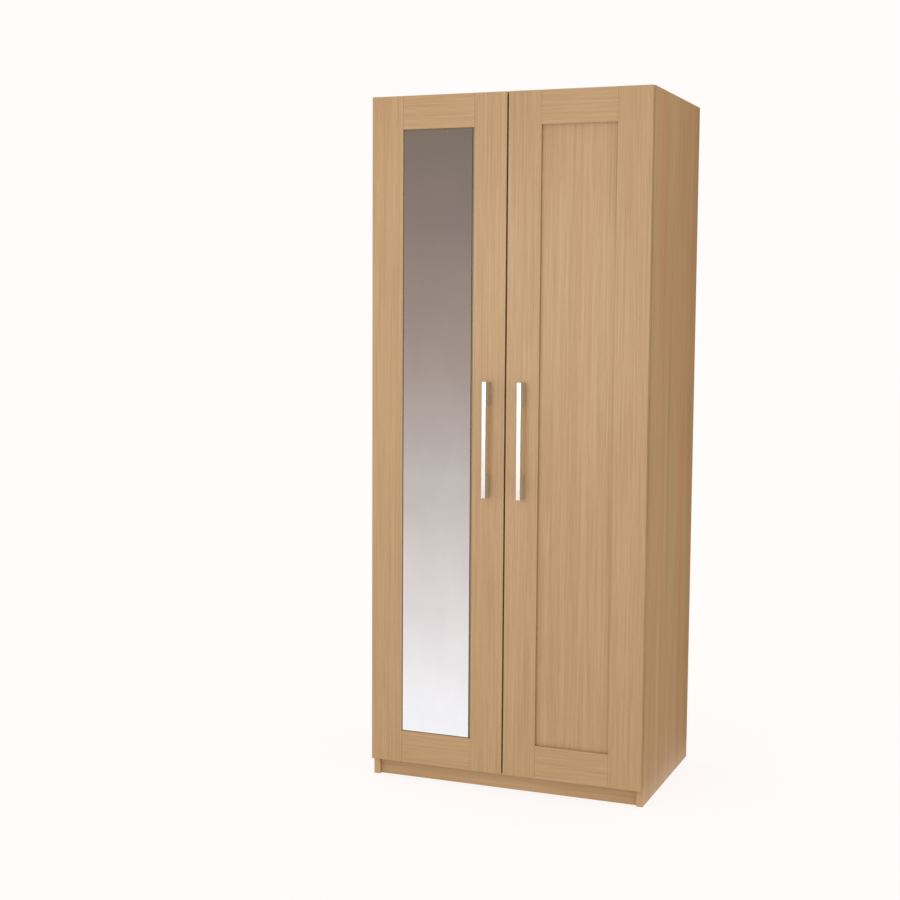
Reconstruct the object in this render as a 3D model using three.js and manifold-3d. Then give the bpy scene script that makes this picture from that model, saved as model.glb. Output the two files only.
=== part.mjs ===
// A free-standing double wardrobe: a flat-pack carcass of 18 mm boards with two framed doors of equal
// width, one carrying a mirror and one a recessed panel, hung on concealed cup hinges.
// Millimetres. +X to the right, +Y to the back, +Z up. The origin is on the floor at the middle of the
// overall footprint, handles included.
import * as THREE from "three";
import { mergeVertices } from "three/addons/utils/BufferGeometryUtils.js";
import Module from "manifold-3d";

const wasm = await Module();
wasm.setup();

// ---- Carcass ----
const carcassWidth = 800;
const carcassHeight = 1928;
const carcassDepth = 515;
const board = 18;
const plinthHeight = 48;
const plinthSetback = 11;
const rearPlinthInset = 70;
const backThickness = 3;
const backInset = 12;
const backGrooveDepth = 8;
const stripWidth = 24;
const stripWall = 1;
const hatSpace = 252;
const shelfSetback = 22;
const railDrop = 60;
const railFromFront = 262;
const railHeight = 30;
const railWidth = 15;
const railWall = 1.2;
const socketLength = 14;
const socketBase = 3;
const socketWall = 2.4;
const socketFlange = 9;
const socketSideFlange = 2;

// ---- Doors ----
const doorThickness = 18;
const doorGap = 1.5;
const doorReveal = 1;
const meetingGap = 5;
const stileWidth = 93;
const topRailWidth = 91;
const bottomRailWidth = 92;
const panelThickness = 6;
const panelRecess = 8;
const frameGrooveDepth = 8;
const mirrorThickness = 4;
const mirrorOuterMargin = 1.2;
const mirrorMeetingMargin = 8;
const mirrorBottomMargin = 1;
const mirrorTopMargin = 3.5;

// ---- Handles ----
const handleLength = 319;
const handleWidth = 12;
const handleProjection = 33;
const handleFootLength = 63;
const handleBarThickness = 9;
const handleInnerRadius = 7;
const handleBevel = 0.6;
const handleFromMeetingEdge = 48;
const handleScrewInset = 22;
const handleScrewRadius = 2;
const handleScrewHeadRadius = 4.2;
const handleScrewHeadHeight = 2.4;
const handleScrewBite = 14;

// ---- Hinges ----
// "FromPanel" is measured from the side panel's inner face towards the middle of the wardrobe, "Setback"
// backwards from the carcass's front edge, "Reach" forwards from it, and "Depth" into the door from its
// rear face.
const hingeFromDoorEnd = 100;
const cupRadius = 17.5;
const cupDepth = 11.5;
const cupWall = 0.6;
const cupFloor = 0.7;
const cupFromPanel = 5.2;
const flangeThickness = 1;
const flangeFromPanel = 3.5;
const flangeWidth = 19;
const flangeHeight = 54;
const flangeCorner = 6;
const armPinFromPanel = 18;
const longLinkSetback = 13.2;
const shortLinkReach = 9.5;
const longPinFromPanel = -7.2;
const longPinDepth = 3.1;
const shortPinFromPanel = -2;
const shortPinDepth = 6;
const longLinkCrank = [7.4, -3.6];
const shortLinkCrank = [8, -8.5];
const pivotRadius = 1.1;
const pivotPlay = 0.08;
const pivotHeadLip = 0.7;
const pivotHead = 0.5;
const eyeWall = 0.8;
const openEyeShift = [0.2, -1.2];
const openEyePlay = 1.4;
const linkHalfWidth = 1;
const linkNear = 0.3;
const linkFar = 4.4;
const armWall = 1.4;
const armNoseWall = 1.4;
const armLength = 62;
const armShoulder = 26;
const armSlope = 4;
const armFoot = 4;
const plateSetback = 37;
const plateWingThickness = 3;
const plateWingWidth = 16;
const plateWingHeight = 48;
const plateRidgeLength = 31;
const plateRidgeHalfWidth = 4.2;
const plateScrewRadius = 2;
const plateScrewHead = 1.6;
const plateScrewHeadRadius = 3.6;
const plateScrewSetbacks = [30, 50];
const pegSpacing = 32;
const pegRadius = 2.5;
const pegLength = 12;

// ---- Fits ----
const slip = 0.2;
const seatGap = 0.3;
const cornerGap = 0.5;
// A cut starts this far outside the face that it opens.
const overcut = 1;

// ---- Worked-out sizes ----
const overallDepth = carcassDepth + doorGap + doorThickness + handleProjection;
const carcassFront = -overallDepth / 2 + handleProjection + doorThickness + doorGap;
const innerWidth = carcassWidth - 2 * board;
const halfInner = innerWidth / 2;
const baseTop = plinthHeight + board;
const topUnderside = carcassHeight - board;
const shelfUnderside = topUnderside - hatSpace - board;
const backGroove = backThickness + 2 * slip;
const backFront = carcassDepth - backInset - backThickness - slip;
const backNear = backFront + slip;
const backFar = backNear + backThickness;
const stripFront = backNear - seatGap - stripWall;
const doorBottom = plinthHeight + doorReveal;
const doorTop = carcassHeight - doorReveal;
const openingBottom = doorBottom + bottomRailWidth;
const openingTop = doorTop - topRailWidth;
const doorBack = -doorGap;
const doorFace = doorBack - doorThickness;
const hingeHeights = [
  { name: "lower", z: doorBottom + hingeFromDoorEnd },
  { name: "middle", z: (doorBottom + doorTop) / 2 },
  { name: "upper", z: doorTop - hingeFromDoorEnd },
];

// ---- Materials ----
const finish = (color, roughness, metalness = 0) => ({ color, roughness, metalness });
const oakFoil = finish(0xc3a078, 0.55);
const oakPanelFoil = finish(0xbf9c74, 0.55);
const hardboard = finish(0xb99a76, 0.75);
const whitePlastic = finish(0xe9e6df, 0.5);
const mirrorSilver = finish(0xdfe2e6, 0.03, 1);
const satinNickel = finish(0xd8d6d0, 0.32, 1);
const nickelSteel = finish(0xbfc0c0, 0.28, 1);
const chromeTube = finish(0xd5d8da, 0.12, 1);
const zincSteel = finish(0xb9bbb8, 0.35, 1);

// ---- Shape tools ----
// A closed geometry as a solid that can be cut and joined.
function solidOf(geometry) {
  const bare = geometry.clone();
  bare.deleteAttribute("normal");
  bare.deleteAttribute("uv");
  const merged = mergeVertices(bare, 1e-4);
  const mesh = new wasm.Mesh({
    numProp: 3,
    vertProperties: merged.attributes.position.array,
    triVerts: new Uint32Array(merged.index.array),
  });
  return new wasm.Manifold(mesh);
}

// A geometry made from a cut or joined solid.
function geometryOf(solid) {
  const mesh = solid.getMesh();
  const geometry = new THREE.BufferGeometry();
  geometry.setAttribute("position", new THREE.BufferAttribute(mesh.vertProperties, 3));
  geometry.setIndex(new THREE.BufferAttribute(mesh.triVerts, 1));
  return geometry;
}

function cut(geometry, ...tools) {
  return geometryOf(tools.reduce((left, tool) => left.subtract(solidOf(tool)), solidOf(geometry)));
}

function join(first, ...others) {
  return geometryOf(others.reduce((whole, other) => whole.add(solidOf(other)), solidOf(first)));
}

// A block between two opposite corners.
function block([x0, y0, z0], [x1, y1, z1]) {
  const box = new THREE.BoxGeometry(x1 - x0, y1 - y0, z1 - z0);
  return box.translate((x0 + x1) / 2, (y0 + y1) / 2, (z0 + z1) / 2);
}

const unitX = new THREE.Vector3(1, 0, 0);
const unitY = new THREE.Vector3(0, 1, 0);
const unitZ = new THREE.Vector3(0, 0, 1);
// Outlines are drawn in (x, y), (y, z) or (z, x) and pushed along the third axis.
const alongZ = new THREE.Matrix4();
const alongX = new THREE.Matrix4().makeBasis(unitY, unitZ, unitX);
const alongY = new THREE.Matrix4().makeBasis(unitZ, unitX, unitY);

function push(shape, direction, from, to, options = {}) {
  const solid = new THREE.ExtrudeGeometry(shape, {
    depth: to - from,
    bevelEnabled: false,
    curveSegments: 5,
    ...options,
  });
  return solid.translate(0, 0, from).applyMatrix4(direction);
}

function outline(points) {
  return new THREE.Shape(points.map(([a, b]) => new THREE.Vector2(a, b)));
}

function rectangle(a0, b0, a1, b1) {
  return outline([[a0, b0], [a1, b0], [a1, b1], [a0, b1]]);
}

function circle(a, b, radius) {
  return new THREE.Shape().absarc(a, b, radius, 0, 2 * Math.PI, false);
}

// An outline with round ends centred on two points.
function capsule([a0, b0], [a1, b1], radius) {
  const heading = Math.atan2(b1 - b0, a1 - a0);
  const quarter = Math.PI / 2;
  const shape = new THREE.Shape();
  shape.absarc(a1, b1, radius, heading - quarter, heading + quarter, false);
  shape.absarc(a0, b0, radius, heading + quarter, heading + 3 * quarter, false);
  return shape;
}

// A slot-shaped outline, longer along its second axis.
function stadium(a, b, width, height) {
  const reach = (height - width) / 2;
  return capsule([a, b - reach], [a, b + reach], width / 2);
}

function roundedRectangle(a0, b0, a1, b1, radius) {
  const quarter = Math.PI / 2;
  const shape = new THREE.Shape();
  shape.absarc(a1 - radius, b1 - radius, radius, 0, quarter, false);
  shape.absarc(a0 + radius, b1 - radius, radius, quarter, 2 * quarter, false);
  shape.absarc(a0 + radius, b0 + radius, radius, 2 * quarter, 3 * quarter, false);
  shape.absarc(a1 - radius, b0 + radius, radius, 3 * quarter, 4 * quarter, false);
  return shape;
}

// A round bar; three.js draws two sides of its circle for every curve segment.
function rod(a, b, radius, direction, from, to, sides = 12) {
  return push(circle(a, b, radius), direction, from, to, { curveSegments: sides / 2 });
}

// ---- Scene graph ----
const group = new THREE.Group();
const wardrobe = new THREE.Group();
// Inside this group y = 0 is the front edge of the carcass.
wardrobe.position.set(0, carcassFront, 0);
group.add(wardrobe);

function place(name, geometry, { color, roughness, metalness }, parent = wardrobe) {
  const material = new THREE.MeshStandardMaterial({ color, roughness, metalness });
  const mesh = new THREE.Mesh(geometry, material);
  mesh.name = name;
  parent.add(mesh);
  return mesh;
}

const sides = [
  { name: "left", sign: -1 },
  { name: "right", sign: 1 },
];

// ---- Carcass ----
// A board whose section has a groove for the back: thickness along a, depth along b.
function groovedSection(outer, inner) {
  const grooveFloor = inner + Math.sign(outer - inner) * backGrooveDepth;
  return outline([
    [outer, 0],
    [inner, 0],
    [inner, backFront],
    [grooveFloor, backFront],
    [grooveFloor, backFront + backGroove],
    [inner, backFront + backGroove],
    [inner, carcassDepth],
    [outer, carcassDepth],
  ]);
}

function sidePanel({ name, sign }) {
  const section = groovedSection((sign * carcassWidth) / 2, sign * halfInner);
  const panel = cut(push(section, alongZ, 0, carcassHeight), ...plateHoles(sign));
  place(`${name}_side_panel`, panel, oakFoil);
}

// Blind holes for the two pegs of every mounting plate.
function plateHoles(sign) {
  const floor = sign * (halfInner + pegLength + seatGap);
  const mouth = sign * (halfInner - overcut);
  const span = [Math.min(floor, mouth), Math.max(floor, mouth)];
  const heights = hingeHeights.flatMap(({ z }) => [z - pegSpacing / 2, z + pegSpacing / 2]);
  return heights.map((z) => rod(plateSetback, z, pegRadius + slip, alongX, ...span));
}

// Top and base carry the same groove, on the face that looks into the wardrobe.
function endPanel(name, outer, inner) {
  const section = groovedSection(outer, inner);
  const flipped = outline(section.getPoints().map(({ x, y }) => [y, x]));
  place(name, push(flipped, alongX, -halfInner, halfInner), oakFoil);
}

function plinths() {
  const front = [-halfInner, plinthSetback, 0];
  place("front_plinth", block(front, [halfInner, plinthSetback + board, plinthHeight]), oakFoil);
  const rearFace = carcassDepth - rearPlinthInset;
  const rear = [-halfInner, rearFace - board, 0];
  place("rear_plinth", block(rear, [halfInner, rearFace, plinthHeight]), oakFoil);
}

function backPanels() {
  const floor = baseTop - backGrooveDepth + cornerGap;
  const ceiling = topUnderside + backGrooveDepth - cornerGap;
  const meeting = stripWall / 2 + seatGap;
  const edge = halfInner + backGrooveDepth - cornerGap;
  place("left_back_panel", block([-edge, backNear, floor], [-meeting, backFar, ceiling]), hardboard);
  place("right_back_panel", block([meeting, backNear, floor], [edge, backFar, ceiling]), hardboard);

  const halfWeb = stripWall / 2;
  const halfStrip = stripWidth / 2;
  const lip = backNear - seatGap;
  const heel = backFar + seatGap;
  const strip = outline([
    [-halfStrip, stripFront],
    [halfStrip, stripFront],
    [halfStrip, lip],
    [halfWeb, lip],
    [halfWeb, heel],
    [halfStrip, heel],
    [halfStrip, heel + stripWall],
    [-halfStrip, heel + stripWall],
    [-halfStrip, heel],
    [-halfWeb, heel],
    [-halfWeb, lip],
    [-halfStrip, lip],
  ]);
  place("back_joining_strip", push(strip, alongZ, baseTop, topUnderside), whitePlastic);
}

function hatShelf() {
  const front = [-halfInner, shelfSetback, shelfUnderside];
  const rear = [halfInner, stripFront - seatGap, shelfUnderside + board];
  place("hat_shelf", block(front, rear), oakFoil);
}

// An oval tube held between two open-topped sockets on the side panels.
function hangingRail() {
  const height = shelfUnderside - railDrop;
  const halfRail = halfInner - socketBase - seatGap;
  const tube = stadium(railFromFront, height, railWidth, railHeight);
  tube.holes.push(stadium(railFromFront, height, railWidth - 2 * railWall, railHeight - 2 * railWall));
  place("hanging_rail", push(tube, alongX, -halfRail, halfRail), chromeTube);

  const bed = [railWidth + 2 * seatGap, railHeight + 2 * seatGap];
  const shell = bed.map((size) => size + 2 * socketWall);
  for (const { name, sign } of sides) {
    const wall = sign * halfInner;
    const inner = wall - sign * socketBase;
    const mouth = wall - sign * socketLength;
    const flangeSize = [shell[0] + 2 * socketSideFlange, shell[1] + 2 * socketFlange];
    const flangeShape = stadium(railFromFront, height, ...flangeSize);
    const flange = push(flangeShape, alongX, Math.min(wall, inner), Math.max(wall, inner));
    const cupShape = stadium(railFromFront, height, ...shell);
    const cup = push(cupShape, alongX, Math.min(wall, mouth), Math.max(wall, mouth));
    const open = mouth - sign * overcut;
    const reach = [Math.min(inner, open), Math.max(inner, open)];
    const bore = push(stadium(railFromFront, height, ...bed), alongX, ...reach);
    const halfBed = bed[0] / 2;
    const slotShape = rectangle(railFromFront - halfBed, height, railFromFront + halfBed, height + bed[1]);
    const dropIn = push(slotShape, alongX, ...reach);
    place(`${name}_rail_socket`, cut(join(flange, cup), bore, dropIn), nickelSteel);
  }
}

// ---- Doors ----
const tongue = frameGrooveDepth - cornerGap;
const panelFront = doorFace + panelRecess;
const panelBack = panelFront + panelThickness;
const grooveFront = panelFront - slip;
const grooveBack = panelBack + slip;

// The section of a frame member from its plain edge to its grooved edge.
function frameSection(plain, grooved) {
  const floor = grooved + Math.sign(plain - grooved) * frameGrooveDepth;
  return [
    [plain, doorFace],
    [grooved, doorFace],
    [grooved, grooveFront],
    [floor, grooveFront],
    [floor, grooveBack],
    [grooved, grooveBack],
    [grooved, doorBack],
    [plain, doorBack],
  ];
}

function door({ name, sign }) {
  const outerEdge = sign * (carcassWidth / 2 - doorReveal);
  const outerSight = outerEdge - sign * stileWidth;
  const meetingEdge = sign * (meetingGap / 2);
  const innerSight = meetingEdge + sign * stileWidth;
  const sight = [Math.min(outerSight, innerSight), Math.max(outerSight, innerSight)];

  const outerStile = push(outline(frameSection(outerEdge, outerSight)), alongZ, doorBottom, doorTop);
  const innerStile = push(outline(frameSection(meetingEdge, innerSight)), alongZ, doorBottom, doorTop);
  const handleX = meetingEdge + sign * handleFromMeetingEdge;
  place(`${name}_door_outer_stile`, cut(outerStile, ...cupHoles(sign)), oakFoil);
  place(`${name}_door_inner_stile`, cut(innerStile, ...handleScrewHoles(handleX)), oakFoil);

  const rails = [
    ["top_rail", doorTop, openingTop],
    ["bottom_rail", doorBottom, openingBottom],
  ];
  for (const [railName, plain, grooved] of rails) {
    const section = outline(frameSection(plain, grooved).map(([a, b]) => [b, a]));
    const floor = grooved + Math.sign(plain - grooved) * frameGrooveDepth;
    const tenonLow = [sight[0] - tongue, panelFront, Math.min(plain, floor)];
    const tenonHigh = [sight[1] + tongue, panelBack, Math.max(plain, floor)];
    const rail = join(push(section, alongX, ...sight), block(tenonLow, tenonHigh));
    place(`${name}_door_${railName}`, rail, oakFoil);
  }

  const panelLow = [sight[0] - tongue, panelFront, openingBottom - tongue];
  const panelHigh = [sight[1] + tongue, panelBack, openingTop + tongue];
  place(`${name}_door_panel`, block(panelLow, panelHigh), oakPanelFoil);

  handle(name, handleX);
  return sight;
}

// alongY draws its outline in (z, x).
function cupHoles(sign) {
  const x = sign * (halfInner - cupFromPanel);
  const floor = doorBack - cupDepth - seatGap;
  const bore = (z) => rod(z, x, cupRadius + seatGap, alongY, floor, doorBack + overcut, cupSides);
  return hingeHeights.map(({ z }) => bore(z));
}

function mirror(sight) {
  const low = [sight[0] + mirrorOuterMargin, panelFront - mirrorThickness];
  const high = [sight[1] - mirrorMeetingMargin, panelFront];
  low.push(openingBottom + mirrorBottomMargin);
  high.push(openingTop - mirrorTopMargin);
  place("mirror", block(low, high), mirrorSilver);
}

// ---- Handles ----
const handleBottom = (doorBottom + doorTop - handleLength) / 2;
const handleTop = handleBottom + handleLength;
const handleScrewHeights = [handleBottom + handleScrewInset, handleTop - handleScrewInset];

function screwRod(x, z, radius, from, to) {
  return rod(z, x, radius, alongY, from, to);
}

function handleScrewHoles(x) {
  const radius = handleScrewRadius + seatGap;
  return handleScrewHeights.map((z) => screwRod(x, z, radius, doorFace - overcut, doorBack + overcut));
}

// A flat bar whose two long feet stand on the door, with a finger space between them.
function handle(name, x) {
  const front = doorFace - handleProjection;
  const bend = front + handleBarThickness + handleInnerRadius;
  const gapBottom = handleBottom + handleFootLength;
  const gapTop = handleTop - handleFootLength;
  const quarter = Math.PI / 2;
  const side = new THREE.Shape();
  side.moveTo(doorFace, handleBottom);
  side.lineTo(front, handleBottom);
  side.lineTo(front, handleTop);
  side.lineTo(doorFace, handleTop);
  side.lineTo(doorFace, gapTop);
  side.absarc(bend, gapTop - handleInnerRadius, handleInnerRadius, quarter, 2 * quarter, false);
  side.absarc(bend, gapBottom + handleInnerRadius, handleInnerRadius, 2 * quarter, 3 * quarter, false);
  side.lineTo(doorFace, gapBottom);
  const halfBar = handleWidth / 2 - handleBevel;
  const bar = push(side, alongX, x - halfBar, x + halfBar, {
    bevelEnabled: true,
    bevelSize: handleBevel,
    bevelThickness: handleBevel,
    bevelOffset: -handleBevel,
    bevelSegments: 2,
  });
  const tapBottom = doorFace - handleScrewBite - cornerGap;
  const tap = (z) => screwRod(x, z, handleScrewRadius + slip, tapBottom, doorFace + overcut);
  place(`${name}_handle`, cut(bar, ...handleScrewHeights.map(tap)), satinNickel);

  handleScrewHeights.forEach((z, index) => {
    const shank = screwRod(x, z, handleScrewRadius, doorFace - handleScrewBite, doorBack + 0.1);
    const head = screwRod(x, z, handleScrewHeadRadius, doorBack, doorBack + handleScrewHeadHeight);
    const level = index ? "upper" : "lower";
    place(`${name}_handle_${level}_screw`, join(head, shank), zincSteel);
  });
}

// ---- Hinges ----
const cupSides = 32;
const linkInnerPin = [armPinFromPanel, longLinkSetback];
const linkFrontPin = [armPinFromPanel, -shortLinkReach];
const longCupPin = [longPinFromPanel, doorBack - longPinDepth];
const shortCupPin = [shortPinFromPanel, doorBack - shortPinDepth];
const openEye = [shortCupPin[0] + openEyeShift[0], shortCupPin[1] + openEyeShift[1]];
const runningHole = pivotRadius + pivotPlay;
const openEyeHole = pivotRadius + openEyePlay;
const armNose = pivotRadius + armNoseWall;
const armInside = linkFar + seatGap;
const armOutside = armInside + armWall;
const armTop = armPinFromPanel + armNose;
const armWebFace = armTop - armWall;

// The cup is sunk in the door; the pin of the long link stands on its upper wall only, so that the short
// link can pass beneath it, and the pin of the short link crosses it from wall to wall.
function hingeCup() {
  const floor = doorBack - cupDepth;
  const rim = doorBack + flangeThickness;
  const shell = rod(0, cupFromPanel, cupRadius, alongY, floor, doorBack, cupSides);
  const halfFlange = flangeHeight / 2;
  const flangeEnd = flangeFromPanel + flangeWidth;
  const flangeShape = roundedRectangle(-halfFlange, flangeFromPanel, halfFlange, flangeEnd, flangeCorner);
  const flange = push(flangeShape, alongY, doorBack, rim);
  const bowl = [floor + cupFloor, rim + overcut];
  const hollow = rod(0, cupFromPanel, cupRadius - cupWall, alongY, ...bowl, cupSides);
  const longPin = rod(...longCupPin, pivotRadius, alongZ, linkNear, cupRadius + overcut);
  const shortPin = rod(...shortCupPin, pivotRadius, alongZ, -cupRadius - overcut, cupRadius + overcut);
  return cut(join(shell, flange), cut(hollow, longPin, shortPin));
}

// Two cheeks joined by a web behind the links, with the two pins the links swing on.
function hingeArm() {
  const cheek = new THREE.Shape();
  cheek.moveTo(armTop, armLength);
  cheek.lineTo(armFoot, armLength);
  cheek.lineTo(armFoot, armShoulder + armSlope);
  cheek.lineTo(armPinFromPanel - armNose, armShoulder - armSlope);
  cheek.absarc(...linkFrontPin, armNose, Math.PI, 2 * Math.PI, false);
  const cheeks = [-1, 1].map((side) => {
    const faces = [side * armInside, side * armOutside];
    return push(cheek, alongZ, Math.min(...faces), Math.max(...faces));
  });
  const webStart = longLinkSetback + runningHole + eyeWall + 2 * seatGap;
  const plainWeb = block([armWebFace, webStart, -armOutside], [armTop, armLength, armOutside]);
  const slots = plateScrewSetbacks.map((y) =>
    rod(y, 0, plateScrewRadius + seatGap, alongX, armWebFace - overcut, armTop + overcut),
  );
  const web = cut(plainWeb, ...slots);
  const reach = armOutside + pivotHead;
  const pins = [linkInnerPin, linkFrontPin].flatMap(([x, y]) => [
    rod(x, y, pivotRadius, alongZ, -reach, reach),
    rod(x, y, pivotRadius + pivotHeadLip, alongZ, armOutside, reach),
    rod(x, y, pivotRadius + pivotHeadLip, alongZ, -reach, -armOutside),
  ]);
  return join(web, ...cheeks, ...pins);
}

// A cross-shaped plate whose ridge fills the arm and whose pegs sit in the side panel. Its two screws,
// one to clamp the arm and one to adjust it, pass through the arm's web.
function mountingPlate() {
  const near = plateSetback - plateWingWidth / 2;
  const far = plateSetback + plateWingWidth / 2;
  const halfWing = plateWingHeight / 2;
  const wingShape = roundedRectangle(near, -halfWing, far, halfWing, flangeCorner);
  const wings = push(wingShape, alongX, 0, plateWingThickness);
  const ridgeFar = near + plateRidgeLength;
  const ridgeLow = [0, near, -plateRidgeHalfWidth];
  const ridge = block(ridgeLow, [armWebFace - seatGap, ridgeFar, plateRidgeHalfWidth]);
  const pegs = [-pegSpacing / 2, pegSpacing / 2].map((height) =>
    rod(plateSetback, height, pegRadius, alongX, -pegLength, plateWingThickness / 2),
  );
  const screws = plateScrewSetbacks.flatMap((y) => [
    rod(y, 0, plateScrewRadius, alongX, armWebFace - overcut, armTop + plateScrewHead),
    rod(y, 0, plateScrewHeadRadius, alongX, armTop, armTop + plateScrewHead),
  ]);
  return join(wings, ridge, ...pegs, ...screws);
}

// A cranked strap between two thicknesses, with an eye for an arm pin and another for a cup pin.
function link(armPin, crank, cupPin, cupHole, [from, to]) {
  const straps = [
    [armPin, crank],
    [crank, cupPin],
  ].map(([start, end]) => push(capsule(start, end, linkHalfWidth), alongZ, from, to));
  const eyes = [
    rod(...armPin, runningHole + eyeWall, alongZ, from, to),
    rod(...cupPin, cupHole + eyeWall, alongZ, from, to),
  ];
  const bores = [
    rod(...armPin, runningHole, alongZ, from - overcut, to + overcut),
    rod(...cupPin, cupHole, alongZ, from - overcut, to + overcut),
  ];
  return cut(join(...straps, ...eyes), ...bores);
}

function hinges({ name, sign }) {
  const upperLayer = [linkNear, linkFar];
  const lowerLayer = [-linkFar, -linkNear];
  for (const { name: level, z } of hingeHeights) {
    // The right-hand hinges are the same parts turned over.
    const hinge = new THREE.Group();
    hinge.position.set(sign * halfInner, 0, z);
    hinge.rotation.y = sign > 0 ? Math.PI : 0;
    wardrobe.add(hinge);
    const longLink = link(linkInnerPin, longLinkCrank, longCupPin, runningHole, upperLayer);
    const shortLink = link(linkFrontPin, shortLinkCrank, openEye, openEyeHole, lowerLayer);
    place(`${name}_${level}_hinge_cup`, hingeCup(), nickelSteel, hinge);
    place(`${name}_${level}_hinge_arm`, hingeArm(), nickelSteel, hinge);
    place(`${name}_${level}_mounting_plate`, mountingPlate(), nickelSteel, hinge);
    place(`${name}_${level}_long_link`, longLink, nickelSteel, hinge);
    place(`${name}_${level}_short_link`, shortLink, nickelSteel, hinge);
  }
}

// ---- Assembly ----
sides.forEach(sidePanel);
endPanel("top_panel", carcassHeight, topUnderside);
endPanel("base_panel", plinthHeight, baseTop);
plinths();
backPanels();
hatShelf();
hangingRail();
const [leftSight] = sides.map(door);
mirror(leftSight);
sides.forEach(hinges);

export default group;
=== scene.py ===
"""The look of a two-door wardrobe: foil-faced oak boards, a mirror door, bar handles and cup hinges."""

import math

import bmesh
import bpy
from mathutils import Matrix, Vector


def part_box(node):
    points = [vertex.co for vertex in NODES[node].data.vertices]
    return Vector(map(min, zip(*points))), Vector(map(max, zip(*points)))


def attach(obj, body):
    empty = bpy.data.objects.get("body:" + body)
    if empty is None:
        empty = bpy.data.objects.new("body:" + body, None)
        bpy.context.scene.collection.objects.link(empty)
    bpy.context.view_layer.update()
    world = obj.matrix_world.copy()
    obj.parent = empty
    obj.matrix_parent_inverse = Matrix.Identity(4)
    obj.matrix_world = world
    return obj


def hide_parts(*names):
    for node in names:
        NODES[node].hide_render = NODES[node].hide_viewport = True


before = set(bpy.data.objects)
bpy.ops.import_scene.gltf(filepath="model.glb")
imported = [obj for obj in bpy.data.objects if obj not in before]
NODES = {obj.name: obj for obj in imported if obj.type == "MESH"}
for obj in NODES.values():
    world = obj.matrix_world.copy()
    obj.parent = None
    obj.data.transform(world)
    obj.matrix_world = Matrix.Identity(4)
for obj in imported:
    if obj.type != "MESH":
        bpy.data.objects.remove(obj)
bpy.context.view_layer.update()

DOOR_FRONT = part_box("left_door_outer_stile")[0].y
SIDES = {"left": -1, "right": 1}
LEVELS = ("lower", "middle", "upper")
MM = 0.001

# ---- Colours, as they look on a screen; those in a group run from dark to light ----
OAK = ("#9f7b50", "#b18d62", "#be9c73")
OAK_PORE = "#906c44"
OAK_WARM = "#b48452"
# Painted shade: the brown of the rails' dark seams, which also stands in for the shade in their grooves,
# and of the painted shade on the frame's edges by the mirror.
SEAM_AND_SHADE_BROWN = "#4e3a22"
RAW_BOARD = ("#735f45", "#98825f", "#aa9570")
PRINTED_BACK = ("#a98b61", "#ba9c74", "#c7ab83")
BARE_BACK = ("#84664a", "#9c7b58")
STRIP_WHITE = "#e6e3dc"
BUMPER_CLEAR = "#d9d8d2"
# What a plastic's clouds leave of its colour.
PLASTIC_SHADE = 0.96
BRUSHED_NICKEL = ("#dcd5cd", "#f5ece1")
# The handles' sides: partly a dull unpolished finish, and partly painted shade that makes them darker
# than the fronts.
HANDLE_DULL_AND_SHADED = "#cdcec4"
CHROME = ("#cfd1d3", "#dfe1e2")
NICKEL_PLATE = ("#c0c1c1", "#d2d3d3")
ZINC_PLATE = ("#a8a697", "#c2c1b4")
SILVER = ("#f4f5f6", "#fbfcfc")
GLASS_EDGE = "#4c5a44"

# ---- The oak print: its textures are repeats per metre, (across the grain, along it) ----
BANDS = (26, 0.8)
STREAKS = (190, 2.6)
HAIRS = (640, 9)
WARM_BANDS = (22, 0.7)
PORES = (1500, 26)
CLOUDS = 2.4
# What each texture weighs in the print's tone. Bold prints have stronger streaks too.
STREAK_WEIGHT = 0.47
STREAK_GAIN = 0.2
HAIR_WEIGHT = 0.3
CLOUD_WEIGHT = 0.12
# Painted light: how much paler the side panels are towards their front edges, where the light falls.
PAINTED_LIGHT_WEIGHT = 0.22
# How bold the broad bands are, and the most of the warm colour that shows.
SIDE_PRINT = (0.4, 0.64)
PLAIN_PRINT = (0.12, 0.096)
MOST_PORE = 0.35
# Each board shows its own part of the print, a step on from the last board's.
FIRST_PRINT = 21
PRINT_STEP = (3.7, 1.9, 5.3)

# ---- The other textures, in repeats per metre ----
CHIPS = 420
BACK_GRAIN = (240, 240, 3)
FIBRES = 900
PULP = 130
GRIT = 2600
PLASTIC_CLOUDS = 25
PLATING = 1800
HANDLE_BRUSHING = (3200, 3200, 60)
METAL_CLOUDS = 35
HAZE = (9, 9, 5)
# Noise seldom strays far from 0.5, so two colours stand at the ends of this span.
NOISE_SPAN = (0.3, 0.7)

# ---- Roughness, as (least, most) ----
FOIL_ROUGHNESS = (0.42, 0.6)
BACK_ROUGHNESS = (0.65, 0.85)
STRIP_ROUGHNESS = (0.4, 0.55)
BUMPER_ROUGHNESS = (0.15, 0.3)
HANDLE_ROUGHNESS = (0.3, 0.42)
CHROME_ROUGHNESS = (0.06, 0.14)
NICKEL_ROUGHNESS = (0.24, 0.31)
ZINC_ROUGHNESS = (0.3, 0.45)
GLASS_ROUGHNESS = (0.0, 0.03)
# How much rougher the unpolished faces of the handles are.
DULL_ROUGHNESS = 0.25


# ---- Small tools ----
def linear(colour):
    """A screen colour such as #c4a079 as linear red, green, blue, alpha."""
    parts = [int(colour[k : k + 2], 16) / 255 for k in (1, 3, 5)]
    return tuple(c / 12.92 if c <= 0.04045 else ((c + 0.055) / 1.055) ** 2.4 for c in parts) + (1.0,)


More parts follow.
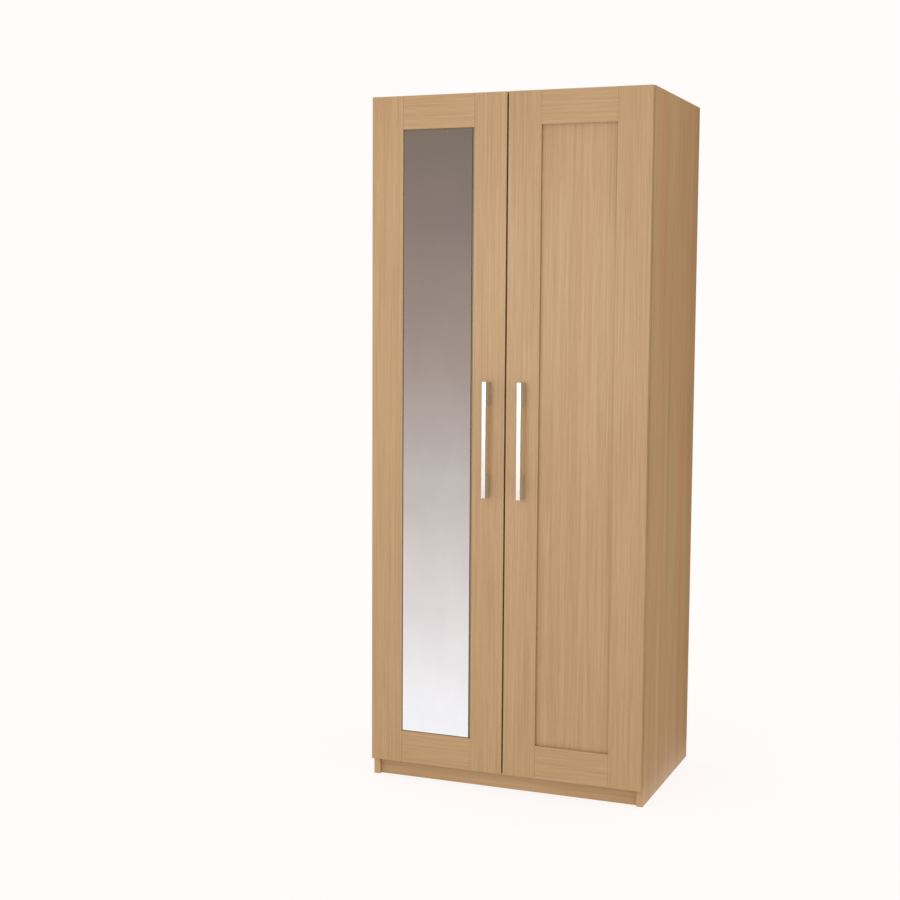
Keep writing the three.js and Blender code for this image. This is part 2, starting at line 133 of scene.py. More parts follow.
class Graph:
    """A material and the few kinds of node that this script uses. Colours can be screen colours."""

    def __init__(self, name):
        self.material = bpy.data.materials.new(name)
        self.material.use_nodes = True
        self.tree = self.material.node_tree
        self.shader = self.tree.nodes["Principled BSDF"]

    def node(self, kind, **settings):
        made = self.tree.nodes.new(kind)
        for key, value in settings.items():
            setattr(made, key, value)
        return made

    def link(self, source, target):
        self.tree.links.new(source, target)

    def place(self, scale, shift):
        """The piece's own coordinates, which are the frame's at rest, scaled and shifted."""
        mapping = self.node("ShaderNodeMapping")
        mapping.inputs["Scale"].default_value = scale
        mapping.inputs["Location"].default_value = shift
        self.link(self.node("ShaderNodeTexCoord").outputs["Object"], mapping.inputs["Vector"])
        return mapping.outputs["Vector"]

    def coordinate(self, kind, axis):
        """One axis of the piece's own coordinates, as a place (Object) or as a direction (Normal)."""
        split = self.node("ShaderNodeSeparateXYZ")
        self.link(self.node("ShaderNodeTexCoord").outputs[kind], split.inputs["Vector"])
        return split.outputs[axis]

    def noise(self, scale, shift=(0, 0, 0), detail=3.0, roughness=0.5, distortion=0.0):
        """Noise whose scale is one number or one for each axis."""
        made = self.node("ShaderNodeTexNoise")
        made.inputs["Scale"].default_value = 1.0
        made.inputs["Detail"].default_value = detail
        made.inputs["Roughness"].default_value = roughness
        made.inputs["Distortion"].default_value = distortion
        axes = scale if isinstance(scale, tuple) else (scale, scale, scale)
        self.link(self.place(axes, shift), made.inputs["Vector"])
        return made.outputs["Fac"]

    def ramp(self, factor, positions, colours):
        """A factor as a colour, with a screen colour or linear values at each position."""
        made = self.node("ShaderNodeValToRGB")
        elements = made.color_ramp.elements
        while len(elements) < len(positions):
            elements.new(0.5)
        for element, position, colour in zip(elements, positions, colours):
            element.position = position
            element.color = linear(colour) if isinstance(colour, str) else colour
        self.link(factor, made.inputs["Fac"])
        return made.outputs["Color"]

    def mask(self, factor, low, high, most):
        """A factor as a mask: 0 up to a low value, and the most from a high value on."""
        return self.ramp(factor, (low, high), ((0, 0, 0, 1), (most, most, most, 1)))

    def math(self, operation, first, second):
        made = self.node("ShaderNodeMath", operation=operation)
        for socket, value in zip(made.inputs, (first, second)):
            if isinstance(value, (int, float)):
                socket.default_value = value
            else:
                self.link(value, socket)
        return made.outputs["Value"]

    def spread(self, factor, low, high):
        """A factor from 0 to 1 spread between two values."""
        made = self.node("ShaderNodeMapRange")
        made.inputs["To Min"].default_value = low
        made.inputs["To Max"].default_value = high
        self.link(factor, made.inputs["Value"])
        return made.outputs["Result"]

    def blend(self, *parts):
        """Noises added by weight about a middle of 0.5."""
        total = 0.5 - sum(weight for _, weight in parts) / 2
        for noise, weight in parts:
            total = self.math("ADD", self.math("MULTIPLY", noise, weight), total)
        return total

    def facing(self, axis, sign):
        """1 where the surface faces within about 45 degrees of an axis of the frame, 0 elsewhere."""
        along = self.math("MULTIPLY", self.coordinate("Normal", axis), sign)
        return self.math("GREATER_THAN", along, 0.7)

    def near(self, axis, place, reach):
        """1 on a plane across an axis of the frame, fading to 0 at a reach from it."""
        away = self.math("SUBTRACT", self.coordinate("Object", axis), place)
        away = self.math("ABSOLUTE", away, 0)
        return self.math("MAXIMUM", self.math("SUBTRACT", 1, self.math("DIVIDE", away, reach)), 0)

    def mix(self, factor, first, second):
        """The first colour where the factor is 0, the second where it is 1."""
        made = self.node("ShaderNodeMix", data_type="RGBA")
        for name, value in (("Factor", factor), ("A", first), ("B", second)):
            socket = next(s for s in made.inputs if s.name == name and s.enabled)
            if isinstance(value, str):
                socket.default_value = linear(value)
            else:
                self.link(value, socket)
        return next(s for s in made.outputs if s.enabled)

    def bump(self, height, strength, distance):
        made = self.node("ShaderNodeBump")
        made.inputs["Strength"].default_value = strength
        made.inputs["Distance"].default_value = distance
        self.link(height, made.inputs["Height"])
        self.link(made.outputs["Normal"], self.shader.inputs["Normal"])

    def coat(self, colour, roughness):
        self.link(colour, self.shader.inputs["Base Color"])
        self.link(roughness, self.shader.inputs["Roughness"])

    def set(self, **values):
        for name, value in values.items():
            self.shader.inputs[name.replace("_", " ")].default_value = value


# ---- Materials ----
def stretched(grain, across, along):
    """Texture scale with fine detail across the grain and long detail along it."""
    return tuple(along if axis == grain else across for axis in "XYZ")


def oak_foil(name, grain, number, look, seams_and_shade=(), bare=None, painted_light_edge=None):
    """Printed oak foil with straight grain along one axis. The number picks a part of the print. Look is
    (boldness, warmest): how bold its broad bands are, and the most of the warm colour that it shows.
    The dark lines are the (axis, place, weight) of planes where a dark line is painted: a seam with the
    painted shade of its groove, and painted shade beside the mirror. Bare is the (axis, sign) of a face
    without foil, and the painted light edge is the (axis, place, reach) of the edge towards the light,
    where painted light makes the foil palest."""
    boldness, warmest = look
    graph = Graph(name)
    shift = tuple(number * step for step in PRINT_STEP)
    bands = graph.noise(stretched(grain, *BANDS), shift, detail=2.0)
    streaks = graph.noise(stretched(grain, *STREAKS), shift, detail=3.0, roughness=0.6, distortion=0.35)
    hairs = graph.noise(stretched(grain, *HAIRS), shift, detail=2.0, roughness=0.6)
    clouds = graph.noise(CLOUDS, shift, detail=1.0)
    warmth = graph.noise(stretched(grain, *WARM_BANDS), shift[::-1], detail=3.0, distortion=0.4)
    pores = graph.noise(stretched(grain, *PORES), shift, detail=1.0)
    parts = [(bands, boldness), (streaks, STREAK_WEIGHT + STREAK_GAIN * boldness)]
    parts += [(hairs, HAIR_WEIGHT), (clouds, CLOUD_WEIGHT)]
    # Painted light: the foil is paler towards the edge that faces the light, fading away from it.
    if painted_light_edge:
        parts.append((graph.near(*painted_light_edge), PAINTED_LIGHT_WEIGHT))
    colour = graph.ramp(graph.blend(*parts), (0.3, 0.5, 0.7), OAK)
    colour = graph.mix(graph.mask(warmth, 0.42, 0.7, warmest), colour, OAK_WARM)
    pore_mask = graph.mask(pores, 0.62, 0.74, MOST_PORE)
    colour = graph.mix(pore_mask, colour, OAK_PORE)
    # Painted dark lines: each rail's seam with the painted shade of its groove, and painted shade on the
    # frame by the mirror.
    for axis, place, weight in seams_and_shade:
        line = graph.math("MULTIPLY", graph.near(axis, place, DARK_LINE_REACH), weight)
        colour = graph.mix(line, colour, SEAM_AND_SHADE_BROWN)
    if bare:
        colour = graph.mix(graph.facing(*bare), colour, raw_board(graph))
    graph.coat(colour, graph.spread(hairs, *FOIL_ROUGHNESS))
    graph.bump(graph.math("SUBTRACT", hairs, pore_mask), strength=0.12, distance=0.2 * MM)
    return graph.material


def raw_board(graph):
    """The speckle of bare pressed wood, as a colour."""
    chips = graph.noise(CHIPS, detail=3.0, roughness=0.7)
    return graph.ramp(chips, (0.3, 0.5, 0.72), RAW_BOARD)


def fibreboard(name):
    """Thin back board: a faint printed grain inside the wardrobe, bare pressed fibres behind it."""
    graph = Graph(name)
    grain = graph.noise(BACK_GRAIN, detail=3.0)
    fibres = graph.noise(FIBRES, detail=2.0)
    pulp = graph.noise(PULP, detail=4.0, roughness=0.65)
    printed = graph.ramp(graph.blend((grain, 0.7), (fibres, 0.3)), (0.3, 0.55, 0.8), PRINTED_BACK)
    brown = graph.ramp(graph.blend((pulp, 0.7), (fibres, 0.3)), NOISE_SPAN, BARE_BACK)
    colour = graph.mix(graph.facing("Y", 1), printed, brown)
    graph.coat(colour, graph.spread(fibres, *BACK_ROUGHNESS))
    graph.bump(fibres, strength=0.15, distance=0.1 * MM)
    return graph.material


def moulded_plastic(name, colour, roughness):
    """Plain moulded plastic with a fine eggshell surface; roughness is (least, most)."""
    graph = Graph(name)
    grit = graph.noise(GRIT, detail=2.0)
    clouds = graph.noise(PLASTIC_CLOUDS, detail=1.0)
    shade = tuple(part * PLASTIC_SHADE for part in linear(colour)[:3]) + (1.0,)
    graph.coat(graph.ramp(clouds, NOISE_SPAN, (shade, colour)), graph.spread(grit, *roughness))
    graph.bump(grit, strength=0.1, distance=0.05 * MM)
    return graph.material


def metal(name, shades, roughness, brush=PLATING, dull_and_shaded=None):
    """Bare metal whose brushing or plating varies its colour and roughness a little. Shades are (dark,
    light) and roughness is (least, most). The dull colour goes on all but the front faces, which are
    unpolished and rougher; its darkness is partly that finish and partly painted shade on these sides."""
    graph = Graph(name)
    lines = graph.noise(brush, detail=2.0)
    clouds = graph.noise(METAL_CLOUDS, detail=2.0)
    colour = graph.ramp(graph.blend((lines, 0.6), (clouds, 0.4)), (0.35, 0.65), shades)
    grit = graph.spread(lines, *roughness)
    if dull_and_shaded:
        front = graph.facing("Y", -1)
        # All but the front faces take the darker colour: painted shade, and partly their unpolished
        # finish.
        colour = graph.mix(front, dull_and_shaded, colour)
        unpolished = graph.math("SUBTRACT", 1, front)
        grit = graph.math("ADD", grit, graph.math("MULTIPLY", unpolished, DULL_ROUGHNESS))
    graph.coat(colour, grit)
    graph.bump(lines, strength=0.04, distance=0.02 * MM)
    graph.set(Metallic=1.0)
    return graph.material


def mirror_glass(name):
    """Silvered float glass: very slightly uneven and not quite clean, with dark green edges."""
    graph = Graph(name)
    haze = graph.noise(HAZE, detail=3.0)
    silvered = graph.facing("Y", -1)
    tint = graph.ramp(haze, NOISE_SPAN, SILVER)
    graph.coat(graph.mix(silvered, GLASS_EDGE, tint), graph.spread(haze, *GLASS_ROUGHNESS))
    graph.link(silvered, graph.shader.inputs["Metallic"])
    return graph.material


# ---- Mesh tools: edges bent by more than these angles are bevelled, and look sharp ----
BEVEL_ANGLE = math.radians(40)
SHARP_ANGLE = math.radians(35)


def new_piece(name, build):
    """A mesh object made by a function that fills a bmesh."""
    shape = bmesh.new()
    build(shape)
    bmesh.ops.recalc_face_normals(shape, faces=shape.faces)
    mesh = bpy.data.meshes.new(name)
    shape.to_mesh(mesh)
    shape.free()
    piece = bpy.data.objects.new(name, mesh)
    bpy.context.scene.collection.objects.link(piece)
    return piece


def turning(axis, spot):
    """A matrix that stands the local z axis along a direction at a spot."""
    return Matrix.Translation(spot) @ Vector(axis).to_track_quat("Z", "Y").to_matrix().to_4x4()


def lathe(shape, profile, matrix, sides=24):
    """Turns a profile of (radius, height) points about the matrix's z axis and returns its last ring.
    A radius of 0 closes an end."""
    rings = []
    for radius, height in profile:
        if radius == 0:
            rings.append([shape.verts.new(matrix @ Vector((0, 0, height)))])
            continue
        turns = [2 * math.pi * k / sides for k in range(sides)]
        ring = [Vector((radius * math.cos(t), radius * math.sin(t), height)) for t in turns]
        rings.append([shape.verts.new(matrix @ point) for point in ring])
    for lower, upper in zip(rings, rings[1:]):
        for k in range(sides):
            corners = [lower[k % len(lower)], lower[(k + 1) % len(lower)]]
            corners += [upper[(k + 1) % len(upper)], upper[k % len(upper)]]
            shape.faces.new(list(dict.fromkeys(corners)))
    return rings[-1]


def soften(node, width, segments=2):
    """A small bevel on a board's or fitting's edges."""
    bevel = node.modifiers.new("soft_edges", "BEVEL")
    bevel.width = width
    bevel.segments = segments
    bevel.limit_method = "ANGLE"
    bevel.angle_limit = BEVEL_ANGLE
    bevel.harden_normals = False


def smooth(node):
    node.data.polygons.foreach_set("use_smooth", [True] * len(node.data.polygons))
    node.data.set_sharp_from_angle(angle=SHARP_ANGLE)


def paint(node, material):
    node.data.materials.clear()
    node.data.materials.append(material)


# ---- CAD nodes get their finishes ----
# Each board's grain runs along an axis.
BOARDS = {
    "left_side_panel": "Z",
    "right_side_panel": "Z",
    "top_panel": "X",
    "base_panel": "X",
    "hat_shelf": "X",
    "front_plinth": "X",
    "rear_plinth": "X",
}
for side in SIDES:
    BOARDS[f"{side}_door_outer_stile"] = "Z"
    BOARDS[f"{side}_door_inner_stile"] = "Z"
    BOARDS[f"{side}_door_top_rail"] = "X"
    BOARDS[f"{side}_door_bottom_rail"] = "X"
    BOARDS[f"{side}_door_panel"] = "Z"

# The face that each board shows without foil. The left door's panel is the one behind the mirror.
BARE_FACES = {
    "left_door_panel": ("Y", -1),
    "left_side_panel": ("Z", -1),
    "right_side_panel": ("Z", -1),
    "front_plinth": ("Z", -1),
    "rear_plinth": ("Z", -1),
    "top_panel": ("Y", 1),
    "base_panel": ("Y", 1),
    "hat_shelf": ("Y", 1),
}
BOARD_SOFTNESS = 0.45 * MM
STRIP_SOFTNESS = 0.2 * MM
MIRROR_SOFTNESS = 0.6 * MM

# How far a painted dark line reaches from its plane, and how dark the seams and the painted shade are.
DARK_LINE_REACH = 0.9 * MM
RAIL_SEAM_AND_SHADE = 0.9
MIRROR_SILL_SHADE = 0.5
MIRROR_STILE_SHADE = 0.3


def dark_lines(name):
    """The planes where a door frame's board shows a painted dark line: a rail's seams with the stiles,
    with painted shade in their grooves, and painted shade on the frame's edges by the mirror."""
    side = name.split("_")[0]
    lines = []
    if name.endswith("_rail"):
        stiles = [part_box(f"{side}_door_{which}_stile") for which in ("outer", "inner")]
        edges = sorted(corner.x for stile in stiles for corner in stile)
        # A dark seam at each joint with a stile, darkened further with the painted shade of its groove.
        lines += [("X", place, RAIL_SEAM_AND_SHADE) for place in edges[1:3]]
    # Painted shade along the bottom rail's edge under the mirror.
    if name == "left_door_bottom_rail":
        lines.append(("Z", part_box(name)[1].z, MIRROR_SILL_SHADE))
    # Painted shade along the outer stile's edge beside the mirror.
    if name == "left_door_outer_stile":
        lines.append(("X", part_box(name)[1].x, MIRROR_STILE_SHADE))
    return lines


def finish_boards():
    for number, (name, grain) in enumerate(sorted(BOARDS.items()), start=FIRST_PRINT):
        low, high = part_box(name)
        look, painted_light_edge = PLAIN_PRINT, None
        if name.endswith("side_panel"):
            # Painted light: the side panels are paler at their front edges, fading towards the back.
            look, painted_light_edge = SIDE_PRINT, ("Y", low.y, high.y - low.y)
        bare = BARE_FACES.get(name)
        foil = oak_foil(f"oak_foil_{name}", grain, number, look, dark_lines(name), bare, painted_light_edge)
        paint(NODES[name], foil)
        soften(NODES[name], BOARD_SOFTNESS)


def finish_fittings(plated, zinc):
    brushed = metal("brushed_nickel", BRUSHED_NICKEL, HANDLE_ROUGHNESS, HANDLE_BRUSHING, HANDLE_DULL_AND_SHADED)
    chrome = metal("chromed_tube", CHROME, CHROME_ROUGHNESS)
    back = fibreboard("printed_fibreboard")

    def metal_of(name):
        if name == "hanging_rail":
            return chrome
        if name.endswith("_handle"):
            return brushed
        return zinc if "handle" in name else plated

    for name, node in NODES.items():
        if name in BOARDS:
            continue
        if "back_panel" in name:
            paint(node, back)
        elif name == "back_joining_strip":
            paint(node, moulded_plastic("strip_plastic", STRIP_WHITE, STRIP_ROUGHNESS))
            soften(node, STRIP_SOFTNESS, segments=1)
        elif name == "mirror":
            paint(node, mirror_glass("mirror_glass"))
            soften(node, MIRROR_SOFTNESS)
        else:
            paint(node, metal_of(name))
            smooth(node)


# ---- Small fittings that the CAD leaves out ----
# A screw head is (radius, height, depth of its cross), and a bumper is (radius, height).
FLANGE_SCREW = (3.5 * MM, 0.9 * MM, 0.8 * MM)
FLANGE_SCREW_INSET = 9.7 * MM
FLANGE_SCREW_SPREAD = 21.5 * MM
PLATE_SCREW = (3.3 * MM, 0.7 * MM, 0.6 * MM)
PLATE_SCREW_PLACES = (-30 * MM, -10 * MM)
SOCKET_SCREW = (3.3 * MM, 1.4 * MM, 1.1 * MM)
SOCKET_SCREW_INSET = 4.8 * MM
SOCKET_BASE = 3 * MM
CAM = (7.5 * MM, 0.7 * MM, 0.6 * MM)
CAM_FROM_END = 34 * MM
CAM_FROM_EDGE = 50 * MM
BUMPER = (4.5 * MM, 1.3 * MM)
BUMPER_FROM_EDGE = 22 * MM
THREAD_RADIUS = 2 * MM
THREAD_PITCH = 0.7 * MM

# Outlines as shares of a radius and a height, and the rest as shares of a radius or of a head's height.
HEAD_OUTLINE = [(0, 0), (1, 0), (1, 0.4), (0.9, 0.8), (0.74, 1)]
BUMPER_OUTLINE = [(0, 0), (1, 0), (1, 0.5), (0.8, 0.9), (0.4, 1), (0, 1)]
CROSS_REACH = 0.52
CROSS_HALF_WIDTH = 0.14
HANDLE_CROSS_DEPTH = 0.7
THREAD_TIP = 0.7
THREAD_ROOT = 0.82


def sized(outline, radius, height):
    return [(share * radius, rise * height) for share, rise in outline]


def cross_head(shape, radius, height, depth, matrix):
    """A low screw head with a cross recess, standing on the matrix's xy plane."""
    rim = lathe(shape, sized(HEAD_OUTLINE, radius, height), matrix)
    far, near = CROSS_REACH * radius, CROSS_HALF_WIDTH * radius
    arm = [(far, -near), (far, near), (near, near)]
    outline = []
    for _ in range(4):
        outline += arm
        arm = [(-y, x) for x, y in arm]
    lips = [shape.verts.new(matrix @ Vector((x, y, height))) for x, y in outline]
    floor = [shape.verts.new(matrix @ Vector((x, y, height - depth))) for x, y in outline]
    ring = [shape.edges.get((rim[k - 1], rim[k])) for k in range(len(rim))]
    ring += [shape.edges.new((lips[k - 1], lips[k])) for k in range(len(lips))]
    bmesh.ops.triangle_fill(shape, use_beauty=True, edges=ring)
    for k in range(len(lips)):
        shape.faces.new((lips[k - 1], lips[k], floor[k], floor[k - 1]))
    shape.faces.new(floor)


def thread(shape, length, matrix):
    """A screw's threaded shank from its tip on the matrix's xy plane."""
    turns = int(length / THREAD_PITCH)
    profile = [(0, 0), (THREAD_TIP * THREAD_RADIUS, 0)]
    for turn in range(turns):
        crest = (turn + 0.5) * length / turns
        profile.append((THREAD_RADIUS, crest))
        profile.append((THREAD_ROOT * THREAD_RADIUS, crest + length / turns / 2))
    profile.append((0, length))
    lathe(shape, profile, matrix, sides=16)


def inner_x(node, sign):
    """The x of a node's face towards the middle of the wardrobe, for a node on a side with this sign."""
    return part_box(node)[1 if sign < 0 else 0].x


def add_fitting(name, body, material, build):
    piece = new_piece(name, build)
    paint(piece, material)
    smooth(piece)
    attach(piece, body)
    return piece


def add_screws(name, body, material, head, spots, axis):
    """One piece of several screw heads; head is (radius, height, depth of the cross)."""

    def build(shape):
        for spot in spots:
            cross_head(shape, *head, turning(axis, spot))

    return add_fitting(name, body, material, build)


def add_hinge_screws(plated):
    for side, sign in SIDES.items():
        for level in LEVELS:
            cup = f"{side}_{level}_hinge_cup"
            low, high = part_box(cup)
            middle = (low.z + high.z) / 2
            x = inner_x(cup, sign) + sign * FLANGE_SCREW_INSET
            spots = [(x, high.y, middle + way * FLANGE_SCREW_SPREAD) for way in (-1, 1)]
            name = f"{side}_{level}_cup_screws"
            add_screws(name, f"{side}_door", plated, FLANGE_SCREW, spots, (0, 1, 0))
            plate = f"{side}_{level}_mounting_plate"
            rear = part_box(plate)[1].y
            spots = [(inner_x(plate, sign), rear + place, middle) for place in PLATE_SCREW_PLACES]
            name = f"{side}_{level}_plate_screws"
            add_screws(name, "carcass", plated, PLATE_SCREW, spots, (-sign, 0, 0))


def add_socket_screws(plated):
    for side, sign in SIDES.items():
        low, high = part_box(f"{side}_rail_socket")
        x = inner_x(f"{side}_side_panel", sign) - sign * SOCKET_BASE
        y = (low.y + high.y) / 2
        spots = [(x, y, z) for z in (low.z + SOCKET_SCREW_INSET, high.z - SOCKET_SCREW_INSET)]
        name = f"{side}_socket_screws"
        add_screws(name, "carcass", plated, SOCKET_SCREW, spots, (-sign, 0, 0))


def add_handle_screws(zinc):
    """Threaded machine screws with a cross head, in place of the CAD's plain ones."""
    for side in SIDES:
        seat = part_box(f"{side}_door_inner_stile")[1].y
        for level in ("lower", "upper"):
            node = f"{side}_handle_{level}_screw"
            low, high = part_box(node)
            radius = (high.x - low.x) / 2
            length, height = seat - low.y, high.y - seat
            centre = Vector(((low.x + high.x) / 2, seat, (low.z + high.z) / 2))

            def build(shape):
                thread(shape, length, turning((0, 1, 0), centre - Vector((0, length, 0))))
                depth = HANDLE_CROSS_DEPTH * height
                cross_head(shape, radius, height, depth, turning((0, 1, 0), centre))

            screw = add_fitting(f"{node}_cross_head", f"{side}_door", zinc, build)
            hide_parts(node)


def add_cams(zinc):
    """Cam locks on the undersides of the top panel and the hat shelf, which hold them to the sides."""
    for board in ("top_panel", "hat_shelf"):
        low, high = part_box(board)
        xs = (low.x + CAM_FROM_END, high.x - CAM_FROM_END)
        ys = (low.y + CAM_FROM_EDGE, high.y - CAM_FROM_EDGE)
        spots = [(x, y, low.z) for x in xs for y in ys]
        add_screws(f"{board}_cams", "carcass", zinc, CAM, spots, (0, 0, -1))


def add_bumpers():
    """Clear pads on the doors' backs, which land on the front edges of the top and base panels."""
    clear = moulded_plastic("bumper_plastic", BUMPER_CLEAR, BUMPER_ROUGHNESS)
    profile = sized(BUMPER_OUTLINE, *BUMPER)
    heights = [sum(corner.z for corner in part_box(board)) / 2 for board in ("top_panel", "base_panel")]
    for side, sign in SIDES.items():
        stile = f"{side}_door_inner_stile"
        x = inner_x(stile, sign) + sign * BUMPER_FROM_EDGE
        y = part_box(stile)[1].y

        def build(shape):
            for z in heights:
                lathe(shape, profile, turning((0, 1, 0), (x, y, z)))

        add_fitting(f"{side}_door_bumpers", f"{side}_door", clear, build)


# ---- Camera: the viewpoint from the middle of the doors' front plane, at floor height ----
VIEWPOINT = Vector((1.4304, -3.988, 1.3746))
AZIMUTH = math.radians(21.763)
ELEVATION = math.radians(5.595)
ROLL = math.radians(0.343)
LENS = 62.1
SENSOR_WIDTH = 36.0
NEAREST = 0.05
FARTHEST = 100.0


def add_camera():
    data = bpy.data.cameras.new("view")
    data.lens = LENS
    data.sensor_width = SENSOR_WIDTH
    data.clip_start = NEAREST
    data.clip_end = FARTHEST
    camera = bpy.data.objects.new("view", data)
    ahead = -math.cos(AZIMUTH) * math.cos(ELEVATION)
    back = Vector((math.sin(AZIMUTH) * math.cos(ELEVATION), ahead, math.sin(ELEVATION)))
    level = Vector((math.cos(AZIMUTH), math.sin(AZIMUTH), 0))
    upright = back.cross(level)
    right = math.cos(ROLL) * level + math.sin(ROLL) * upright
    up = back.cross(right)
    turn = Matrix((right, up, back)).transposed().to_4x4()
    camera.matrix_world = Matrix.Translation(Vector((0, DOOR_FRONT, 0)) + VIEWPOINT) @ turn
    bpy.context.scene.collection.objects.link(camera)
    bpy.context.scene.camera = camera


# ---- Stage and light ----
FLOOR_HALF = 14.0
FLOOR_GREYS = ("#6a6968", "#6c6b6a")
FLOOR_WHITE = "#fffcfb"
FLOOR_GLOW = 0.86
FLOOR_CLOUDS = 0.8
STUDIO_CLOUDS = 0.6
STUDIO_WHITE = "#fffcfb"
FILL_WARM = "#fff9f2"
FILL_STRENGTH = 1.05
KEY_SPOT = (-0.36, -1.72, 1.45)
KEY_TARGET = (0.05, -0.25, 1.36)
KEY_SIZE = (0.46, 0.8)
KEY_POWER = 4.9
KEY_COLOUR = (0.84, 1.0, 1.12)

# The sweep is a floor that bends up into a wall. It starts and ends at these distances in front of the
# doors, its profile turns by steps, and its colours go by the distance along it, in metres: from the
# floor beside the doors to the dark wall behind the camera.
SWEEP_START = 0.2
SWEEP_WALL = 5.75
SWEEP_BEND = 0.5
SWEEP_STEPS = 8
SWEEP_TOP = 3.6
SWEEP_HALF = 7.0
SWEEP_COLOURS = {
    0.4: "#fbfbfe",
    1.1: "#f4f0f1",
    1.9: "#eae3e4",
    3.0: "#dfd5d4",
    4.6: "#d0c7c2",
    5.8: "#c8bfba",
    6.2: "#b9ada9",
    6.6: "#ac9d95",
    7.1: "#9c8c85",
    7.6: "#8e7f78",
    8.3: "#81746a",
}

# The flag's rows are (left end, y, z); all of them end on the right at one x.
FLAG_ROWS = ((0.45, -0.2, MM), (0.45, 4.0, MM), (-0.6, 4.01, 6.0))
FLAG_RIGHT = 9.0
FLAG_BROWNS = ("#463c34", "#52483f")

# The card's span across and upwards, how far it stands in front of the doors, and how steeply it fades.
CARD_ACROSS = (-1.15, 0.4)
CARD_UPWARDS = (0.25, 2.2)
CARD_AWAY = 2.95
CARD_FADE = 3
CARD_WHITES = ("#f4f4f6", "#ffffff")
CARD_STRENGTH = 2.2


def floor_material():
    graph = Graph("studio_floor")
    clouds = graph.noise(FLOOR_CLOUDS, detail=2.0)
    graph.link(graph.ramp(clouds, NOISE_SPAN, FLOOR_GREYS), graph.shader.inputs["Base Color"])
    graph.set(Roughness=0.9, Specular_IOR_Level=0.0)
    graph.set(Emission_Color=linear(FLOOR_WHITE), Emission_Strength=FLOOR_GLOW)
    return graph.material


def add_floor():
    def sheet(shape):
        ways = ((-1, -1), (1, -1), (1, 1), (-1, 1))
        shape.faces.new([shape.verts.new((x * FLOOR_HALF, y * FLOOR_HALF, 0)) for x, y in ways])

    floor = new_piece("studio_floor", sheet)
    floor.data.materials.append(floor_material())


def add_reflector(name, rows, graph, colour, strength=1.0, mask=None):
    """A glowing sheet through rows of points, seen only by gloss: in the mirror, bare metal and the foil.
    It is clear where the mask is 0."""

    def sheet(shape):
        lines = [[shape.verts.new(point) for point in row] for row in rows]
        for first, second in zip(lines, lines[1:]):
            shape.faces.new([first[0], first[1], second[1], second[0]])

    reflector = new_piece(name, sheet)
    glow = graph.node("ShaderNodeEmission")
    glow.inputs["Strength"].default_value = strength
    graph.link(colour, glow.inputs["Color"])
    surface = glow.outputs["Emission"]
    if mask:
        veil = graph.node("ShaderNodeMixShader")
        graph.link(mask, veil.inputs["Fac"])
        graph.link(graph.node("ShaderNodeBsdfTransparent").outputs["BSDF"], veil.inputs[1])
        graph.link(surface, veil.inputs[2])
        surface = veil.outputs["Shader"]
    output = next(n for n in graph.tree.nodes if n.type == "OUTPUT_MATERIAL")
    graph.link(surface, output.inputs["Surface"])
    reflector.data.materials.append(graph.material)
    reflector.visible_camera = False
    reflector.visible_diffuse = False
    reflector.visible_shadow = False
    reflector.visible_transmission = False


def add_sweep():
    """The studio in front of the doors: a white floor that rises to a dark wall behind the camera."""
    profile = [(SWEEP_START, 0.0)]
    for step in range(SWEEP_STEPS + 1):
        turn = math.pi / 2 * step / SWEEP_STEPS
        reach = SWEEP_WALL - SWEEP_BEND + SWEEP_BEND * math.sin(turn)
        profile.append((reach, SWEEP_BEND - SWEEP_BEND * math.cos(turn)))
    profile.append((SWEEP_WALL, SWEEP_TOP))
    ends = (-SWEEP_HALF, SWEEP_HALF)
    rows = [[(x, DOOR_FRONT - reach, height + MM) for x in ends] for reach, height in profile]
    graph = Graph("studio_sweep")
    ahead = graph.math("SUBTRACT", DOOR_FRONT, graph.coordinate("Object", "Y"))
    along = graph.math("ADD", ahead, graph.coordinate("Object", "Z"))
    first, last = min(SWEEP_COLOURS), max(SWEEP_COLOURS)
    factor = graph.math("DIVIDE", graph.math("SUBTRACT", along, first), last - first)
    positions = [(place - first) / (last - first) for place in SWEEP_COLOURS]
    add_reflector("studio_sweep", rows, graph, graph.ramp(factor, positions, SWEEP_COLOURS.values()))


def add_flag():
    """Dull cloth on the right and behind, which keeps the side panel's colour deep."""
    rows = [[(left, y, z), (FLAG_RIGHT, y, z)] for left, y, z in FLAG_ROWS]
    graph = Graph("studio_flag")
    clouds = graph.noise(STUDIO_CLOUDS, detail=1.0)
    add_reflector("studio_flag", rows, graph, graph.ramp(clouds, NOISE_SPAN, FLAG_BROWNS))


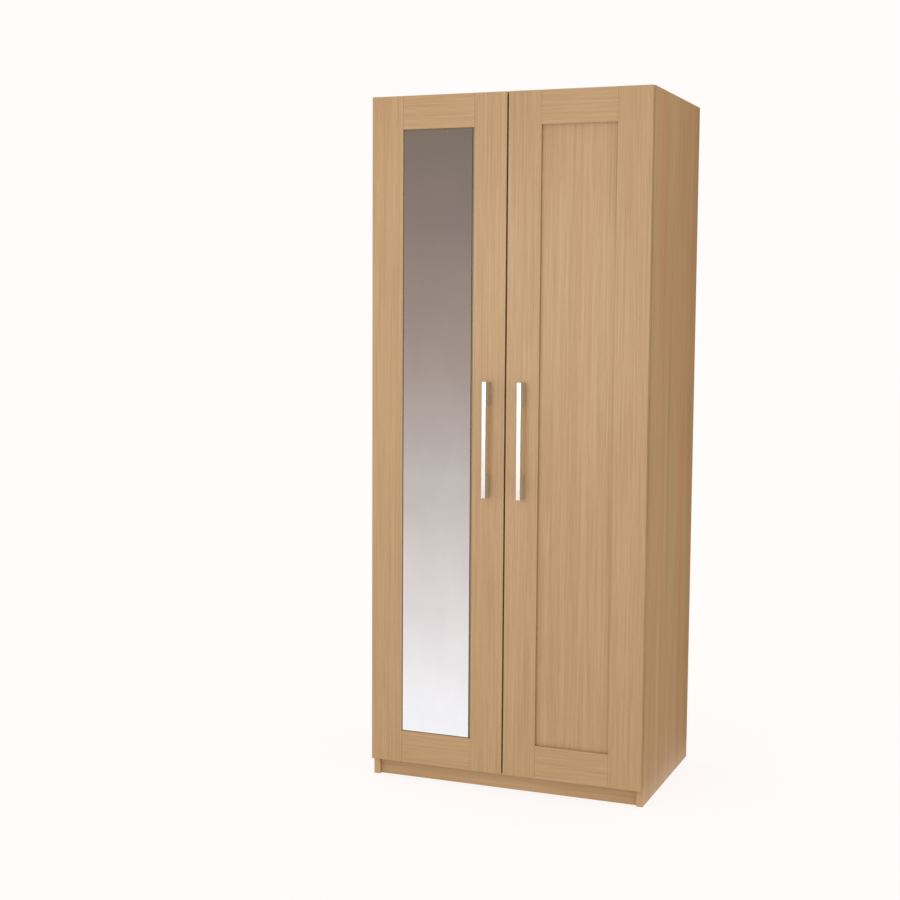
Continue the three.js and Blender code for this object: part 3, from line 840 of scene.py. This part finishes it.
def add_card():
    """A bright card beside the camera, which gives the foil its sheen and the handles their shine. It
    fades towards its edges, so that a mirror that sees it shows no hard outline."""
    rows = [[(x, DOOR_FRONT - CARD_AWAY, z) for x in CARD_ACROSS] for z in CARD_UPWARDS]
    graph = Graph("studio_card")
    fades = []
    for axis, (start, end) in (("X", CARD_ACROSS), ("Z", CARD_UPWARDS)):
        inside = graph.near(axis, (start + end) / 2, (end - start) / 2)
        fades.append(graph.math("MINIMUM", graph.math("MULTIPLY", inside, CARD_FADE), 1))
    clouds = graph.noise(STUDIO_CLOUDS, detail=1.0)
    glow = graph.ramp(clouds, NOISE_SPAN, CARD_WHITES)
    add_reflector("studio_card", rows, graph, glow, CARD_STRENGTH, graph.math("MULTIPLY", *fades))


def add_fill():
    """Soft light from all around; the camera sees the studio's white instead."""
    world = bpy.data.worlds.new("studio")
    world.use_nodes = True
    nodes, links = world.node_tree.nodes, world.node_tree.links
    mix = nodes.new("ShaderNodeMixShader")
    links.new(nodes.new("ShaderNodeLightPath").outputs["Is Camera Ray"], mix.inputs["Fac"])
    for slot, colour, strength in ((1, FILL_WARM, FILL_STRENGTH), (2, STUDIO_WHITE, 1.0)):
        background = nodes.new("ShaderNodeBackground")
        background.inputs["Color"].default_value = linear(colour)
        background.inputs["Strength"].default_value = strength
        links.new(background.outputs["Background"], mix.inputs[slot])
    links.new(mix.outputs["Shader"], nodes["World Output"].inputs["Surface"])
    bpy.context.scene.world = world


def add_key_light():
    data = bpy.data.lights.new("key", "AREA")
    data.shape = "RECTANGLE"
    data.size, data.size_y = KEY_SIZE
    data.energy = KEY_POWER
    data.color = KEY_COLOUR
    light = bpy.data.objects.new("key", data)
    light.location = KEY_SPOT
    light.rotation_euler = (Vector(KEY_TARGET) - Vector(KEY_SPOT)).to_track_quat("-Z", "Y").to_euler()
    light.visible_camera = False
    bpy.context.scene.collection.objects.link(light)


# ---- The scene ----
add_camera()
PLATED = metal("nickel_plated_steel", NICKEL_PLATE, NICKEL_ROUGHNESS)
ZINC = metal("zinc_plated_steel", ZINC_PLATE, ZINC_ROUGHNESS)
finish_boards()
finish_fittings(PLATED, ZINC)
add_hinge_screws(PLATED)
add_socket_screws(PLATED)
add_handle_screws(ZINC)
add_cams(ZINC)
add_bumpers()
add_floor()
add_sweep()
add_flag()
add_card()
add_fill()
add_key_light()
bpy.context.scene.view_settings.view_transform = "Standard"
